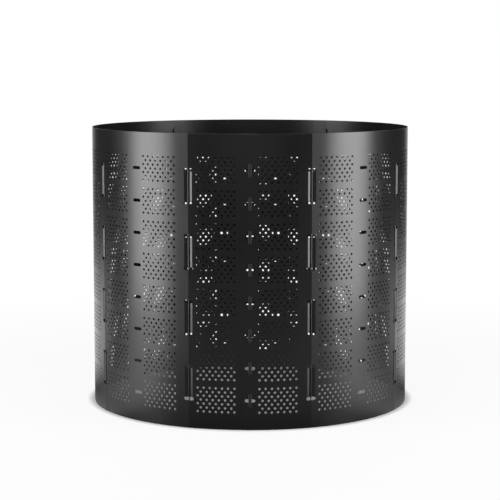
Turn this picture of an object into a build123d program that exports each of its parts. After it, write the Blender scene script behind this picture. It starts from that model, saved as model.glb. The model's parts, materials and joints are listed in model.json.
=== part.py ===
from build123d import *
from math import asin, atan2, cos, degrees, hypot, pi, radians, sin, tan
import os

# Round garden compost bin: one perforated plastic sheet rolled into an open ring, stiffened by upright
# rods that are woven through loops pressed in the sheet, and closed at the front by a lap seam that
# quarter-turn toggles hold. Millimetres, +Z up, origin on the ground at the centre of the ring.
# The seam faces -Y. Bearings are measured from there, positive towards +X.

# Sheet: slot columns stand side by side along it, and the rolled sheet is laid out as narrow flats,
# one for each upright line of holes, so that every hole is round in a flat piece of sheet.
sheet_thickness = 1.2
columns = 17
column_pitch = 194.0
flats_per_column = 20
rows = 8
row_pitch = 101.6
bottom_margin = 92.0
top_margin = 111.2

# Slots, one at each crossing of a row and a column.
slot_length = 32.0
slot_height = 10.0

# Hole blocks: one beside each slot, on the side of the larger bearings, with staggered rows.
hole_diameter = 7.5
hole_lines = 7
hole_line_pitch = 12.4
holes_in_line = 7
first_hole_flat = 3

# Rods, and the sheet around them: it is straight for some flats beside each rod column, with a crease
# at the rod, and the strip between every other pair of slots dips in as a loop behind the rod.
rod_diameter = 4.0
rod_clearance = 0.3
rod_below_rim = 30.0
rod_end_chamfer = 0.8
crease_flats = 3.5
loop_bend_radius = 6.0
loop_end_play = 2.0

# Lap seam: both ends of the sheet pass the front column by the same number of flats.
lap_flats = 2.5
lap_gap = 0.3
lap_ease_end_flats = 3.5

# Toggles: an outer bar, a shank through both layers and an inner key that passes the slots when the
# bar is turned level.
toggle_clearance = 0.4
toggle_bar_length = 44.0
toggle_bar_width = 10.0
toggle_bar_depth = 5.0
toggle_bar_fillet = 4.0
toggle_shank_play = 1.0
toggle_key_end_play = 3.0
toggle_key_depth = 4.0

# Worked out from the values above.
wall_radius = columns * column_pitch / (2 * pi)
wall_height = bottom_margin + (rows - 1) * row_pitch + top_margin
flat_angle = 360 / columns / flats_per_column
crease_angle = crease_flats * flat_angle
lap_inset = sheet_thickness + lap_gap
cut_reach = 8 * sheet_thickness
rod_radius = rod_diameter / 2
rod_length = wall_height - rod_below_rim
rod_pairs = range(1, columns // 2, 2)
slope_sin = sin(radians(crease_angle))
slope_cos = cos(radians(crease_angle))
slope_tan = tan(radians(crease_angle))
crease_radius = wall_radius / slope_cos
crease_inner_radius = (wall_radius - sheet_thickness) / slope_cos
rod_axis_radius = crease_inner_radius - (rod_radius + rod_clearance) / slope_cos


def row_height(row):
    return bottom_margin + row * row_pitch


def bearing_of(station):
    """Degrees round from the front column, for a station counted in flats."""
    return station * flat_angle


def ring_point(station, depth):
    """Plan point on the round sheet, at a depth inside its outer face."""
    angle = radians(bearing_of(station))
    radius = wall_radius - depth
    return Vector(radius * sin(angle), -radius * cos(angle))


def crease_point(station, depth):
    """Plan point on a crease, where the straight flats of both sides meet."""
    return ring_point(station, depth) * (1 / slope_cos)


def radial_plane(station, height, depth=0.0):
    """Plane that faces outwards, with its x axis along the sheet and its y axis up."""
    angle = radians(bearing_of(station))
    foot = ring_point(station, depth)
    return Plane(
        origin=(foot.X, foot.Y, height),
        x_dir=(cos(angle), sin(angle), 0),
        z_dir=(sin(angle), -cos(angle), 0),
    )


def creased_points(first_column, last_column, depth):
    """Plan points of a field of sheet from the crease at one column to the crease at another."""
    start = first_column * flats_per_column + crease_flats
    end = last_column * flats_per_column - crease_flats
    return [
        crease_point(first_column * flats_per_column, depth),
        *[ring_point(start + n, depth) for n in range(round(end - start) + 1)],
        crease_point(last_column * flats_per_column, depth),
    ]


def outer_end_points(depth):
    """Plan points of the seam's outer layer, from its free edge to the first crease."""
    end = flats_per_column - crease_flats
    return [
        *[ring_point(n - lap_flats, depth) for n in range(round(end + lap_flats) + 1)],
        crease_point(flats_per_column, depth),
    ]


def inner_end_points(depth):
    """Plan points of the seam's inner layer, which eases inwards to pass behind the outer one."""
    start = crease_flats - flats_per_column
    points = [crease_point(-flats_per_column, depth)]
    for n in range(round(lap_flats - start) + 1):
        station = start + n
        share = min(1.0, n / (-lap_ease_end_flats - start))
        eased = share * share * (3 - 2 * share)
        points.append(ring_point(station, depth + eased * lap_inset))
    return points


def sheet_between(outer_points, inner_points):
    plan = make_face(Polyline(*outer_points, *reversed(inner_points), close=True))
    return extrude(plan, wall_height)


def slot_cutter(column, row):
    plane = radial_plane(column * flats_per_column, row_height(row))
    return extrude(plane * SlotOverall(slot_length, slot_height), amount=cut_reach, both=True)


def hole_cutters(column):
    """All the holes of the blocks beside one slot column."""
    cutters = []
    for row in range(rows):
        for line in range(hole_lines):
            height = row_height(row) + (line - (hole_lines - 1) / 2) * hole_line_pitch
            shift = line % 2
            for n in range(holes_in_line - shift):
                station = column * flats_per_column + first_hole_flat + shift + 2 * n
                plane = radial_plane(station, height, depth=cut_reach)
                cutters.append(Solid.make_cylinder(hole_diameter / 2, 2 * cut_reach, plane))
    return cutters


# The loops' plan is drawn for a rod column at the front, with the distance along the sheet as x and the
# radius as -y. It follows the rod for a short arc, then a sloped leg, then a bend that meets the straight
# flat just inside the ends of the slots.
loop_inner = rod_radius + rod_clearance
loop_outer = loop_inner + sheet_thickness
mouth_radius = loop_bend_radius + sheet_thickness
bend_across = slot_length / 2 - loop_end_play - mouth_radius * slope_sin
bend_radial = crease_inner_radius - bend_across * slope_tan - loop_bend_radius / slope_cos
bend_rise = bend_radial - rod_axis_radius
leg_turn = asin((loop_inner + mouth_radius) / hypot(bend_across, bend_rise))
leg_slope = degrees(atan2(bend_rise, bend_across) + leg_turn)
flat_direction = 90 - crease_angle
leg_direction = 90 + leg_slope


def loop_rows():
    """Lower rows of the pairs of slots that a loop joins."""
    return range(0, rows - 1, 2)


def on_bend(radius, angle):
    """Point on an arc round the bend's centre, with the angle from the direction along the sheet."""
    return (bend_across + radius * cos(radians(angle)), bend_radial + radius * sin(radians(angle)))


def on_loop(radius, angle):
    """Point on an arc round the rod's axis."""
    return (radius * cos(radians(angle)), rod_axis_radius + radius * sin(radians(angle)))


def drawn(points, side):
    """Points given as distance along the sheet and radius, on one side of a rod column."""
    return [(side * across, -radius) for across, radius in points]


def half_loop_face(side):
    """Plan of half a loop: the face beside the rod, then the face towards the inside of the bin."""
    along_rod = (-90, leg_slope / 2 - 90, leg_slope - 90)
    along_bend = (leg_direction, (leg_direction + flat_direction) / 2, flat_direction)
    rod_arc = [on_loop(loop_inner, angle) for angle in along_rod]
    mouth_arc = [on_bend(mouth_radius, angle) for angle in along_bend]
    back_bend = [on_bend(loop_bend_radius, angle) for angle in reversed(along_bend)]
    back_arc = [on_loop(loop_outer, angle) for angle in reversed(along_rod)]
    arcs = [drawn(points, side) for points in (rod_arc, mouth_arc, back_bend, back_arc)]
    edges = []
    for arc, following in zip(arcs, arcs[1:] + arcs[:1]):
        edges.append(ThreePointArc(*arc))
        edges.append(Line(arc[-1], following[0]))
    return make_face(edges)


def window_face(side):
    """Plan of the straight flat that a loop takes the place of."""
    points = [
        (0, crease_radius + cut_reach),
        on_bend(mouth_radius + cut_reach, flat_direction),
        (bend_across, bend_radial),
        (0, bend_radial),
    ]
    return make_face(Polyline(*drawn(points, side), close=True))


def at_column(column, height, shape):
    return Rot(0, 0, bearing_of(column * flats_per_column)) * Pos(0, 0, height) * shape


def window_cutters(column, side):
    window = extrude(window_face(side), row_pitch)
    return [at_column(column, row_height(row), window) for row in loop_rows()]


def half_loops(column, side):
    loop = extrude(half_loop_face(side), row_pitch)
    return [at_column(column, row_height(row), loop) for row in loop_rows()]


def finished_field(sheet, block_columns, slot_columns, creases):
    """Forms the half loops at a field's creases, then cuts its slots and holes."""
    windows = []
    loops = []
    cutters = []
    for column, side in creases:
        windows += window_cutters(column, side)
        loops += half_loops(column, side)
    for column in slot_columns:
        cutters += [slot_cutter(column, row) for row in range(rows)]
    for column in block_columns:
        cutters += hole_cutters(column)
    return (sheet - windows + loops - cutters).solid()


def creased_field(first_column, last_column):
    """A field of sheet between two rod columns."""
    sheet = sheet_between(
        creased_points(first_column, last_column, 0),
        creased_points(first_column, last_column, sheet_thickness),
    )
    return finished_field(
        sheet,
        range(first_column, last_column),
        range(first_column, last_column + 1),
        [(first_column, 1), (last_column, -1)],
    )


def outer_seam_field():
    """The end of the sheet that lies outermost at the seam."""
    sheet = sheet_between(outer_end_points(0), outer_end_points(sheet_thickness))
    return finished_field(sheet, [0], [0, 1], [(1, -1)])


def inner_seam_field():
    """The end of the sheet that lies behind the other at the seam."""
    sheet = sheet_between(inner_end_points(0), inner_end_points(sheet_thickness))
    return finished_field(sheet, [-1], [-1, 0], [(-1, 1)])


def stiffening_rod():
    """Rod at the front, standing on the ground."""
    rod = Pos(0, -rod_axis_radius, 0) * extrude(Circle(rod_radius), rod_length)
    ends = rod.edges().filter_by(GeomType.CIRCLE)
    return chamfer(ends, rod_end_chamfer)


def closure_toggle():
    """Toggle across the seam at ground height, locked, with its bar upright."""
    bar_face = wall_radius + toggle_clearance
    key_face = wall_radius - lap_inset - sheet_thickness - toggle_clearance
    shank_diameter = slot_height - 2 * toggle_shank_play
    key_length = slot_length - 2 * toggle_key_end_play
    facing = Plane(origin=(0, -key_face, 0), x_dir=(0, 0, 1), z_dir=(0, -1, 0))
    bar_plan = facing.offset(bar_face - key_face) * SlotOverall(toggle_bar_length, toggle_bar_width)
    bar = extrude(bar_plan, toggle_bar_depth)
    bar = fillet(bar.faces().sort_by(Axis.Y)[0].edges(), toggle_bar_fillet)
    shank = extrude(facing * Circle(shank_diameter / 2), bar_face - key_face)
    key = extrude(facing * SlotOverall(key_length, shank_diameter), -toggle_key_depth)
    return bar + shank + key


def all_nodes():
    """Every piece of the bin by name."""
    nodes = {
        "wall_front_right": outer_seam_field(),
        "wall_front_left": inner_seam_field(),
    }
    side_field = creased_field(rod_pairs[0], rod_pairs[1])
    for n in range(len(rod_pairs) - 1):
        first_right = rod_pairs[n]
        first_left = -rod_pairs[n + 1]
        nodes[f"wall_right_{n + 1}"] = at_column(first_right - rod_pairs[0], 0, side_field)
        nodes[f"wall_left_{n + 1}"] = at_column(first_left - rod_pairs[0], 0, side_field)
    nodes["wall_back"] = creased_field(rod_pairs[-1], columns - rod_pairs[-1])

    rod = stiffening_rod()
    for n, column in enumerate(rod_pairs):
        nodes[f"stiffening_rod_right_{n + 1}"] = at_column(column, 0, rod)
        nodes[f"stiffening_rod_left_{n + 1}"] = at_column(-column, 0, rod)

    toggle = closure_toggle()
    for row in range(rows):
        nodes[f"closure_toggle_{row + 1}"] = at_column(0, row_height(row), toggle)
    return nodes


os.makedirs("parts", exist_ok=True)
for name, piece in all_nodes().items():
    export_step(piece, f"parts/{name}.step", write_pcurves=False)
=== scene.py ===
"""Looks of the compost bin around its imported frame: sheet, rods, toggles, studio and camera.

Metres, +Z up, origin on the ground at the centre of the ring, and the seam faces -Y. Bearings are
measured from there, positive towards +X.
"""
import json
from math import cos, pi, radians, sin

import bpy
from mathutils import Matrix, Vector

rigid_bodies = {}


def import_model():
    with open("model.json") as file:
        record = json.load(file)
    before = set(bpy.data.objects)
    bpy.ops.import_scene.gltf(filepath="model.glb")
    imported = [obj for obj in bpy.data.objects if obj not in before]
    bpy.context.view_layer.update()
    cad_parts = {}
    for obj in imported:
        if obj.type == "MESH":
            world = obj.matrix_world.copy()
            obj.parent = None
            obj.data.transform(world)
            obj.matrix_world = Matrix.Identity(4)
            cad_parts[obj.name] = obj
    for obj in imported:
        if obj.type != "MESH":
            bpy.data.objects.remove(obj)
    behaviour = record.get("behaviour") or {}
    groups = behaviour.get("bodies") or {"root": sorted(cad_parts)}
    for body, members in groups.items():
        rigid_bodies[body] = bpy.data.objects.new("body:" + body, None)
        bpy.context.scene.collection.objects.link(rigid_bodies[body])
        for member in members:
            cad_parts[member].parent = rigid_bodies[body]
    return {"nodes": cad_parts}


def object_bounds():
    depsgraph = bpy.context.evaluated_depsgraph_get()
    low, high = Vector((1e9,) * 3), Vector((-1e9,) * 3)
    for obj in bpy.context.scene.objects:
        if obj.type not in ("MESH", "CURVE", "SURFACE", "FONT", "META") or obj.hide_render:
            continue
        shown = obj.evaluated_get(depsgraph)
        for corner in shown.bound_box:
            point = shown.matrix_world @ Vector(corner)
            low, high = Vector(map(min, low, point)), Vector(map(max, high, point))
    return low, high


# Camera: placed as for the photograph, but tilted down instead of shifted.
CAMERA_DISTANCE = 5.55
CAMERA_HEIGHT = 1.17
AIM_HEIGHT = 0.4975
LENS_MM = 119.5
SENSOR_MM = 36.0

# Lights: on each side a tall softbox with a brighter middle, and a square one overhead.
SIDE_BOX_BEARING = 69.3
SIDE_BOX_DISTANCE = 2.8
SIDE_BOX_FOOT = 0.02
SIDE_BOX_HEIGHT = 1.9
SIDE_BOX_WIDTH = 1.7
SIDE_BOX_RADIANCE = 4.4
SIDE_BOX_CORE_WIDTH = 1.0
SIDE_BOX_CORE_RADIANCE = 2.95
SIDE_BOX_CORE_AHEAD = 0.02
TOP_BOX_HEIGHT = 3.2
TOP_BOX_SIZE = 1.6
TOP_BOX_RADIANCE = 1.5

# Room, as reflections see it: dim, with a white backdrop behind the bin and a lighter wall behind the camera.
# Each starts where that much of a direction points backwards or forwards. Matt surfaces get an even fill.
ROOM_LEVEL = 0.02
BACKDROP_STARTS = 0.85
BACKDROP_FULL = 0.99
FAR_WALL_STARTS = 0.80
FAR_WALL_LEVEL = 0.80
FILL_LEVEL = 0.25

# Floor: white to the camera, apart from the shade inside the ring and a soft shadow that fades outwards, and
# plain grey for the diffuse light that it sends back.
FLOOR_RADIUS = 30.0
FLOOR_SIDES = 96
WALL_SHADE_WIDTH = 0.03
FLOOR_SHADOW_DEPTH = 0.10
SHADOW_FADE_STARTS = 0.9
SHADOW_FADE_ENDS = 2.6
FLOOR_GREY = 0.28

# In reflections the floor is a pool of light, with its level by bearing in degrees. It is shaded near the
# ring and fades outwards.
POOL_LEVELS = ((0, 0.25), (46, 0.31), (60, 1.65), (98, 0.22), (116, 1.12), (145, 1.55))
POOL_SHADE = 0.36
POOL_SHADE_ENDS = 1.0
POOL_FADE_STARTS = 1.8
POOL_FADE_ENDS = 5.5
POOL_FADE = 0.03

# Behind the bin the floor is a white sweep, which spreads sideways by a share of the distance behind.
SWEEP_STARTS = 0.2
SWEEP_FULL = 0.9
SWEEP_FULL_SPREAD = 0.10
SWEEP_END_SPREAD = 0.60
SWEEP_LEVEL = 1.5

# Smoothing: the sheet's narrow flats shade as one round, its creases and cut edges stay crisp.
WELD_DISTANCE = 1e-5
CUT_EDGE_ANGLE = radians(30)
CREASE_ANGLE = radians(7.4)
CREASE_TOLERANCE = radians(1.0)

# Colours, linear.
SHEET_DARK = (0.0030, 0.0030, 0.0034)
SHEET_LIGHT = (0.0046, 0.0046, 0.0050)
DUST = (0.060, 0.054, 0.045)
ROD_DARK = (0.0040, 0.0040, 0.0043)
ROD_LIGHT = (0.0065, 0.0065, 0.0069)
TOGGLE_DARK = (0.0150, 0.0150, 0.0157)
TOGGLE_LIGHT = (0.0200, 0.0200, 0.0208)
WHITE = (1.0, 1.0, 1.0)

# Finish: roughness from the smoothest to the roughest places, what scuffs and dust add to it, and smoother
# skins, the sheet's, which shows at grazing angles, and the rods' lacquer.
PLASTIC_IOR = 1.50
SHEET_ROUGHNESS = (0.31, 0.36)
SCUFF_ROUGHNESS = 0.06
DUST_ROUGHNESS = 0.30
ROD_ROUGHNESS = (0.08, 0.14)
TOGGLE_ROUGHNESS = (0.66, 0.76)
SHEET_SKIN = 0.25
ROD_LACQUER = 1.0
SKIN_ROUGHNESS = 0.20

# Patterns: noise in cycles per metre, by axis where it is drawn out into streaks.
SHEET_CLOUDS = {"scale": 4.0, "detail": 4.0}
SHEET_SPECKS = {"scale": 260.0, "detail": 3.0}
SHEET_GRAIN = {"scale": 1400.0, "detail": 2.0}
ROLLER_MARKS = {"scales": (60.0, 60.0, 1.5), "detail": 3.0}
HANDLING_MARKS = {"scales": (9.0, 9.0, 34.0), "detail": 6.0, "roughness": 0.65}
DRAWING_LINES = {"scales": (900.0, 900.0, 6.0), "detail": 3.0}
ROD_CLOUDS = {"scale": 30.0, "detail": 3.0}
TOGGLE_GRAIN = {"scale": 2200.0, "detail": 3.0}
TOGGLE_WEAR = {"scale": 120.0, "detail": 3.0}

# Parts of a noise's range that count: most of it, nearly all of it, or only the higher values.
MOST = (0.3, 0.7)
NEARLY_ALL = (0.25, 0.75)
SCUFF_PEAKS = (0.60, 0.78)
DUST_PEAKS = (0.48, 0.72)

# Dust: its largest share of the colour, and how high up the sheet it reaches.
DUST_SHARE = 0.10
DUST_HEIGHT = 0.16

# Relief of the patterns that can be felt.
ROLLER_RELIEF = {"strength": 0.10, "distance": 0.0006}
SHEET_RELIEF = {"strength": 0.10, "distance": 0.0001}
DRAWING_RELIEF = {"strength": 0.06, "distance": 0.0001}
TOGGLE_RELIEF = {"strength": 0.20, "distance": 0.0001}


def with_alpha(colour):
    return (*colour, 1.0)


def grey(level):
    return (level, level, level, 1.0)


class Nodes:
    """Adds nodes to a tree and links them, so that a material reads as a list of steps."""

    def __init__(self, tree):
        self.tree = tree
        self.tree.nodes.clear()

    def add(self, kind, values=None, **settings):
        node = self.tree.nodes.new(kind)
        for name, value in settings.items():
            setattr(node, name, value)
        for name, value in (values or {}).items():
            if isinstance(value, bpy.types.NodeSocket):
                self.tree.links.new(value, node.inputs[name])
            else:
                node.inputs[name].default_value = value
        return node

    def object_place(self):
        return self.add("ShaderNodeTexCoord").outputs["Object"]

    def parts(self, vector):
        return self.add("ShaderNodeSeparateXYZ", {"Vector": vector}).outputs

    def noise(self, place, scale, detail, roughness=0.5):
        values = {"Vector": place, "Scale": scale, "Detail": detail, "Roughness": roughness}
        return self.add("ShaderNodeTexNoise", values).outputs["Fac"]

    def streaks(self, place, scales, detail, roughness=0.5):
        drawn_out = self.add("ShaderNodeMapping", {"Vector": place, "Scale": scales}).outputs["Vector"]
        return self.noise(drawn_out, 1.0, detail, roughness)

    def remap(self, value, start, end, low, high):
        values = {"Value": value, "From Min": start, "From Max": end, "To Min": low, "To Max": high}
        node = self.add("ShaderNodeMapRange", values, interpolation_type="SMOOTHSTEP")
        return node.outputs["Result"]

    def ramp(self, value, stops):
        node = self.add("ShaderNodeValToRGB", {"Fac": value})
        levels = node.color_ramp.elements
        levels.remove(levels[1])
        levels[0].position = stops[0][0]
        levels[0].color = grey(stops[0][1])
        for place, level in stops[1:]:
            levels.new(place).color = grey(level)
        return node.outputs["Color"]

    def maths(self, operation, first, second=0.0):
        return self.add("ShaderNodeMath", {0: first, 1: second}, operation=operation).outputs["Value"]

    def mixed(self, share, first, second):
        node = self.add("ShaderNodeMix", {0: share, 6: first, 7: second}, data_type="RGBA")
        return node.outputs[2]

    def mixed_shader(self, share, first, second):
        values = {0: share, 1: first.outputs[0], 2: second.outputs[0]}
        return self.add("ShaderNodeMixShader", values)

    def bump(self, height, strength, distance, normal=None):
        values = {"Height": height, "Strength": strength, "Distance": distance}
        if normal is not None:
            values["Normal"] = normal
        return self.add("ShaderNodeBump", values).outputs["Normal"]


def new_material(name):
    material = bpy.data.materials.new(name)
    material.use_nodes = True
    return material, Nodes(material.node_tree)


def plastic(nodes, colour, roughness, normal, skin=0.0):
    values = {"Base Color": colour, "Roughness": roughness, "Normal": normal, "IOR": PLASTIC_IOR,
              "Coat Weight": skin, "Coat Roughness": SKIN_ROUGHNESS, "Coat Normal": normal}
    shader = nodes.add("ShaderNodeBsdfPrincipled", values)
    nodes.add("ShaderNodeOutputMaterial", {"Surface": shader.outputs["BSDF"]})


def sheet_material():
    """Black plastic sheet: fine grain, faint upright roller marks, handling marks and dust low down."""
    material, nodes = new_material("black_sheet")
    place = nodes.object_place()
    clouds = nodes.noise(place, **SHEET_CLOUDS)
    specks = nodes.noise(place, **SHEET_SPECKS)
    grain = nodes.noise(place, **SHEET_GRAIN)
    roller_marks = nodes.streaks(place, **ROLLER_MARKS)
    handling = nodes.streaks(place, **HANDLING_MARKS)
    scuffs = nodes.remap(handling, *SCUFF_PEAKS, 0.0, 1.0)

    low_down = nodes.remap(nodes.parts(place)["Z"], 0.0, DUST_HEIGHT, 1.0, 0.0)
    dusty = nodes.maths("MULTIPLY", low_down, nodes.remap(specks, *DUST_PEAKS, 0.0, DUST_SHARE))
    lightness = nodes.remap(clouds, *MOST, 0.0, 1.0)
    base = nodes.mixed(lightness, with_alpha(SHEET_DARK), with_alpha(SHEET_LIGHT))
    colour = nodes.mixed(dusty, base, with_alpha(DUST))

    roughness = nodes.remap(clouds, *NEARLY_ALL, *SHEET_ROUGHNESS)
    roughness = nodes.maths("ADD", roughness, nodes.maths("MULTIPLY", scuffs, SCUFF_ROUGHNESS))
    roughness = nodes.maths("ADD", roughness, nodes.maths("MULTIPLY", dusty, DUST_ROUGHNESS))

    normal = nodes.bump(roller_marks, **ROLLER_RELIEF)
    normal = nodes.bump(grain, **SHEET_RELIEF, normal=normal)
    plastic(nodes, colour, roughness, normal, skin=SHEET_SKIN)
    return material


def rod_material():
    """Lacquered black rod with faint lengthwise drawing lines."""
    material, nodes = new_material("black_rod")
    place = nodes.object_place()
    drawn = nodes.streaks(place, **DRAWING_LINES)
    clouds = nodes.noise(place, **ROD_CLOUDS)
    colour = nodes.mixed(clouds, with_alpha(ROD_DARK), with_alpha(ROD_LIGHT))
    roughness = nodes.remap(clouds, *MOST, *ROD_ROUGHNESS)
    plastic(nodes, colour, roughness, nodes.bump(drawn, **DRAWING_RELIEF), skin=ROD_LACQUER)
    return material


def toggle_material():
    """Moulded toggle: dark grey and dull, with a spark-eroded grain, worn a little smoother in patches."""
    material, nodes = new_material("grey_toggle")
    place = nodes.object_place()
    grain = nodes.noise(place, **TOGGLE_GRAIN)
    worn = nodes.noise(place, **TOGGLE_WEAR)
    colour = nodes.mixed(worn, with_alpha(TOGGLE_DARK), with_alpha(TOGGLE_LIGHT))
    roughness = nodes.remap(worn, *MOST, *TOGGLE_ROUGHNESS)
    plastic(nodes, colour, roughness, nodes.bump(grain, **TOGGLE_RELIEF))
    return material


def smoothing_group(name, crease_too):
    """Geometry nodes that weld a node's mesh and shade it smooth, except at cut edges and creases."""
    group = bpy.data.node_groups.new(name, "GeometryNodeTree")
    group.interface.new_socket("Geometry", in_out="INPUT", socket_type="NodeSocketGeometry")
    group.interface.new_socket("Geometry", in_out="OUTPUT", socket_type="NodeSocketGeometry")
    nodes = Nodes(group)
    mesh = nodes.add("NodeGroupInput").outputs["Geometry"]
    bare = nodes.add("GeometryNodeRemoveAttribute", {"Geometry": mesh, "Name": "custom_normal"})
    welded = nodes.add("GeometryNodeMergeByDistance",
                       {"Geometry": bare.outputs["Geometry"], "Distance": WELD_DISTANCE})
    smooth = nodes.add("GeometryNodeSetShadeSmooth",
                       {"Geometry": welded.outputs["Geometry"], "Shade Smooth": True}, domain="FACE")
    angle = nodes.add("GeometryNodeInputMeshEdgeAngle").outputs["Unsigned Angle"]
    sharp = nodes.maths("GREATER_THAN", angle, CUT_EDGE_ANGLE)
    if crease_too:
        from_crease = nodes.maths("ABSOLUTE", nodes.maths("SUBTRACT", angle, CREASE_ANGLE))
        sharp = nodes.maths("MAXIMUM", sharp, nodes.maths("LESS_THAN", from_crease, CREASE_TOLERANCE))
    crisp = nodes.add("GeometryNodeSetShadeSmooth",
                      {"Geometry": smooth.outputs["Geometry"], "Selection": sharp, "Shade Smooth": False},
                      domain="EDGE")
    nodes.add("NodeGroupOutput", {"Geometry": crisp.outputs["Geometry"]})
    return group


def dress(nodes, start, material, group):
    """Gives every node whose name begins so its material and smoothing."""
    for name, node in nodes.items():
        if not name.startswith(start):
            continue
        for slot in node.material_slots:
            slot.material = material
        node.modifiers.new("smoothing", "NODES").node_group = group


def floor_seen(nodes, from_bin, ring):
    """The floor as the camera sees it: plain white, mixed near the bin with a lit floor that takes shadow."""
    near = nodes.remap(from_bin, ring, ring + WALL_SHADE_WIDTH, 1.0, FLOOR_SHADOW_DEPTH)
    far = nodes.remap(from_bin, SHADOW_FADE_STARTS, SHADOW_FADE_ENDS, 1.0, 0.0)
    white = nodes.add("ShaderNodeEmission", {"Color": with_alpha(WHITE), "Strength": 1.0})
    lit = nodes.add("ShaderNodeBsdfDiffuse", {"Color": with_alpha(WHITE)})
    return nodes.mixed_shader(nodes.maths("MULTIPLY", near, far), white, lit)


def pool_level(nodes, aside, behind, from_bin, ring):
    bearing = nodes.maths("ARCTAN2", aside, nodes.maths("MULTIPLY", behind, -1.0))
    stops = [(turn / 180, level) for turn, level in POOL_LEVELS]
    pool = nodes.ramp(nodes.maths("DIVIDE", bearing, pi), stops)
    shade = nodes.remap(from_bin, ring, POOL_SHADE_ENDS, POOL_SHADE, 1.0)
    fade = nodes.remap(from_bin, POOL_FADE_STARTS, POOL_FADE_ENDS, 1.0, POOL_FADE)
    return nodes.maths("MULTIPLY", pool, nodes.maths("MULTIPLY", shade, fade))


def sweep_level(nodes, aside, behind, ring):
    past_bin = nodes.maths("MAXIMUM", nodes.maths("SUBTRACT", aside, ring), 0.0)
    spread = nodes.maths("DIVIDE", past_bin, nodes.maths("MAXIMUM", behind, SWEEP_STARTS))
    sweep = nodes.remap(spread, SWEEP_FULL_SPREAD, SWEEP_END_SPREAD, SWEEP_LEVEL, 0.0)
    return nodes.maths("MULTIPLY", sweep, nodes.remap(behind, SWEEP_STARTS, SWEEP_FULL, 0.0, 1.0))


def floor_material(ring):
    """Pale floor: white to the camera, a pool of light and a sweep in reflections, otherwise grey."""
    material, nodes = new_material("pale_floor")
    place = nodes.object_place()
    from_bin = nodes.add("ShaderNodeVectorMath", {0: place}, operation="LENGTH").outputs["Value"]
    across = nodes.parts(place)
    aside = nodes.maths("ABSOLUTE", across["X"])
    pool = pool_level(nodes, aside, across["Y"], from_bin, ring)
    level = nodes.maths("MAXIMUM", pool, sweep_level(nodes, aside, across["Y"], ring))
    mirrored = nodes.add("ShaderNodeEmission", {"Color": with_alpha(WHITE), "Strength": level})
    plain = nodes.add("ShaderNodeBsdfDiffuse", {"Color": grey(FLOOR_GREY)})
    path = nodes.add("ShaderNodeLightPath").outputs
    unseen = nodes.mixed_shader(path["Is Glossy Ray"], plain, mirrored)
    shown = nodes.mixed_shader(path["Is Camera Ray"], unseen, floor_seen(nodes, from_bin, ring))
    nodes.add("ShaderNodeOutputMaterial", {"Surface": shown.outputs[0]})
    return material


def make_floor(ring):
    bpy.ops.mesh.primitive_circle_add(vertices=FLOOR_SIDES, radius=FLOOR_RADIUS, fill_type="NGON")
    floor = bpy.context.object
    floor.name = "floor"
    floor.data.materials.append(floor_material(ring))


def make_world():
    """White to the camera, the room in reflections, and a low even fill for the rest."""
    world = bpy.data.worlds.new("studio")
    bpy.context.scene.world = world
    world.use_nodes = True
    nodes = Nodes(world.node_tree)
    direction = nodes.add("ShaderNodeTexCoord").outputs["Generated"]
    backwards = nodes.parts(direction)["Y"]
    backdrop = nodes.remap(backwards, BACKDROP_STARTS, BACKDROP_FULL, ROOM_LEVEL, SWEEP_LEVEL)
    far_wall = nodes.remap(backwards, -1.0, -FAR_WALL_STARTS, FAR_WALL_LEVEL, 0.0)
    around = nodes.maths("MAXIMUM", backdrop, far_wall)
    path = nodes.add("ShaderNodeLightPath").outputs
    mirrored = nodes.maths("MAXIMUM", path["Is Glossy Ray"], path["Is Transmission Ray"])
    level = nodes.mixed(mirrored, grey(FILL_LEVEL), around)
    level = nodes.mixed(path["Is Camera Ray"], level, with_alpha(WHITE))
    light = nodes.add("ShaderNodeBackground", {"Color": level, "Strength": 1.0})
    nodes.add("ShaderNodeOutputWorld", {"Surface": light.outputs["Background"]})


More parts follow.
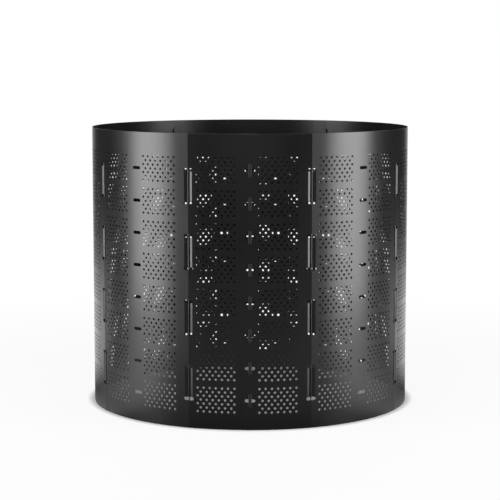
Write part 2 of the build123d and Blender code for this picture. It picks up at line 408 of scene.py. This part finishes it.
def make_softbox(name, place, target, width, height, radiance):
    lamp = bpy.data.lights.new(name, "AREA")
    lamp.shape = "RECTANGLE"
    lamp.size = width
    lamp.size_y = height
    lamp.energy = radiance * pi * width * height
    softbox = bpy.data.objects.new(name, lamp)
    bpy.context.scene.collection.objects.link(softbox)
    softbox.location = place
    softbox.rotation_euler = (target - place).to_track_quat("-Z", "Y").to_euler()
    softbox.visible_camera = False


def make_lights(middle):
    centre_height = SIDE_BOX_FOOT + SIDE_BOX_HEIGHT / 2
    target = Vector((0.0, 0.0, centre_height))
    for side, name in ((-1, "left"), (1, "right")):
        bearing = radians(side * SIDE_BOX_BEARING)
        outwards = Vector((sin(bearing), -cos(bearing), 0.0))
        place = target + outwards * SIDE_BOX_DISTANCE
        make_softbox(f"{name}_softbox", place, target, SIDE_BOX_WIDTH, SIDE_BOX_HEIGHT, SIDE_BOX_RADIANCE)
        place = place - outwards * SIDE_BOX_CORE_AHEAD
        make_softbox(f"{name}_softbox_core", place, target, SIDE_BOX_CORE_WIDTH, SIDE_BOX_HEIGHT,
                     SIDE_BOX_CORE_RADIANCE)
    above = Vector((0.0, 0.0, TOP_BOX_HEIGHT))
    make_softbox("top_softbox", above, middle, TOP_BOX_SIZE, TOP_BOX_SIZE, TOP_BOX_RADIANCE)


def make_camera():
    data = bpy.data.cameras.new("camera")
    data.sensor_width = SENSOR_MM
    data.lens = LENS_MM
    camera = bpy.data.objects.new("camera", data)
    bpy.context.scene.collection.objects.link(camera)
    camera.location = (0.0, -CAMERA_DISTANCE, CAMERA_HEIGHT)
    aim = Vector((0.0, 0.0, AIM_HEIGHT))
    camera.rotation_euler = (aim - camera.location).to_track_quat("-Z", "Y").to_euler()
    bpy.context.scene.camera = camera


for leftover in list(bpy.data.objects):
    bpy.data.objects.remove(leftover)
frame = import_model()
cad_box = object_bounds()

part_smoothing = smoothing_group("smooth_part", crease_too=False)
dress(frame["nodes"], "wall_", sheet_material(), smoothing_group("smooth_sheet", crease_too=True))
dress(frame["nodes"], "stiffening_rod_", rod_material(), part_smoothing)
dress(frame["nodes"], "closure_toggle_", toggle_material(), part_smoothing)

make_floor(cad_box[1].x)
make_world()
make_lights((cad_box[0] + cad_box[1]) / 2)
make_camera()
bpy.context.scene.view_settings.view_transform = "Standard"
